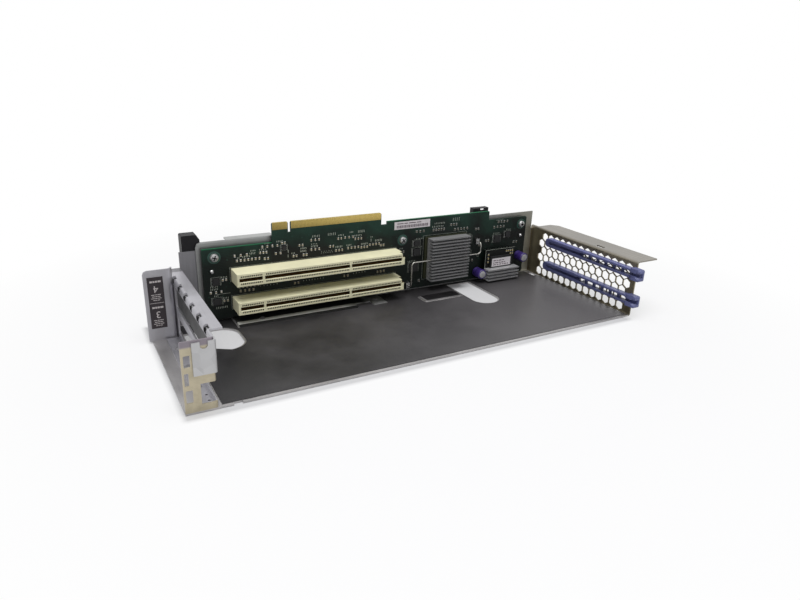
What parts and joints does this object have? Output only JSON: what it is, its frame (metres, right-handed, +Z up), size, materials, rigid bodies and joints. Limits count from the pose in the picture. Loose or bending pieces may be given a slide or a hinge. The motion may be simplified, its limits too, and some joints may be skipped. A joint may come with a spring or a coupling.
{
  "type": "riser cage bracket",
  "caption": "Sheet-metal riser cage of a rack server with an upright slot board, card slots, a bracket wall, card guides and a perforated end wall.",
  "frame": {"origin": "on the underside of the pan, below the slot side of the board, in line with the outer ends of the card slots", "axes": "+X along the card slots towards the perforated end wall, -Y from the board over the cards, +Z up out of the pan towards the board's plug-in edge"},
  "size_m": [0.3469, 0.135, 0.0673],
  "materials": {
    "pan_steel": "zinc-plated sheet, satin",
    "film": "matt black film",
    "bracket_steel": "galvanised sheet, satin",
    "carrier_steel": "plated sheet, dull",
    "zinc_steel": "galvanised, fine spangle",
    "spring_steel": "bright spring steel",
    "label_black": "black printed label",
    "label_white": "white printed label",
    "board_green": "solder mask on glass-fibre laminate",
    "board_dark": "solder mask on glass-fibre laminate",
    "gold": "gold plating",
    "connector_cream": "moulded, satin",
    "sink_aluminium": "extruded, satin",
    "chip_substrate": "laminate substrate",
    "chip_black": "moulded epoxy",
    "tinned_steel": "tin-plated",
    "screw_steel": "zinc-plated",
    "sleeve_purple": "shrink sleeve, aluminium can end",
    "guide_blue": "moulded, satin",
    "block_black": "moulded, satin",
    "ceramic_beige": "tinned ends"
  },
  "bodies": {
    "root": {"base_pan": "pan_steel", "insulator_film": "film", "slot_bracket": "bracket_steel", "label_plate": "bracket_steel", "slot_label": "label_black", "filler_bracket": "zinc_steel", "contact_strip_upper": "spring_steel", "contact_strip_lower": "spring_steel", "board_carrier": "carrier_steel", "riser_board": "board_green", "edge_contacts": "gold", "slot_connector_lower": "connector_cream", "slot_connector_upper": "connector_cream", "heat_sink": "sink_aluminium", "bridge_chip": "chip_substrate", "sink_clip": "spring_steel", "clip_anchors": "tinned_steel", "module_board": "board_dark", "module_chip": "chip_black", "module_label": "label_white", "module_pins": "tinned_steel", "module_sink": "sink_aluminium", "capacitor_left": "sleeve_purple", "capacitor_right": "sleeve_purple", "card_guide_lower": "guide_blue", "card_guide_upper": "guide_blue", "locator_left": "block_black", "locator_right": "block_black", "board_screws": "screw_steel", "board_spacers": "screw_steel", "locating_pins": "tinned_steel", "sheet_rivets": "zinc_steel", "chip_capacitors": "ceramic_beige", "small_chips": "chip_black", "board_label": "label_white"}
  },
  "joints": []
}
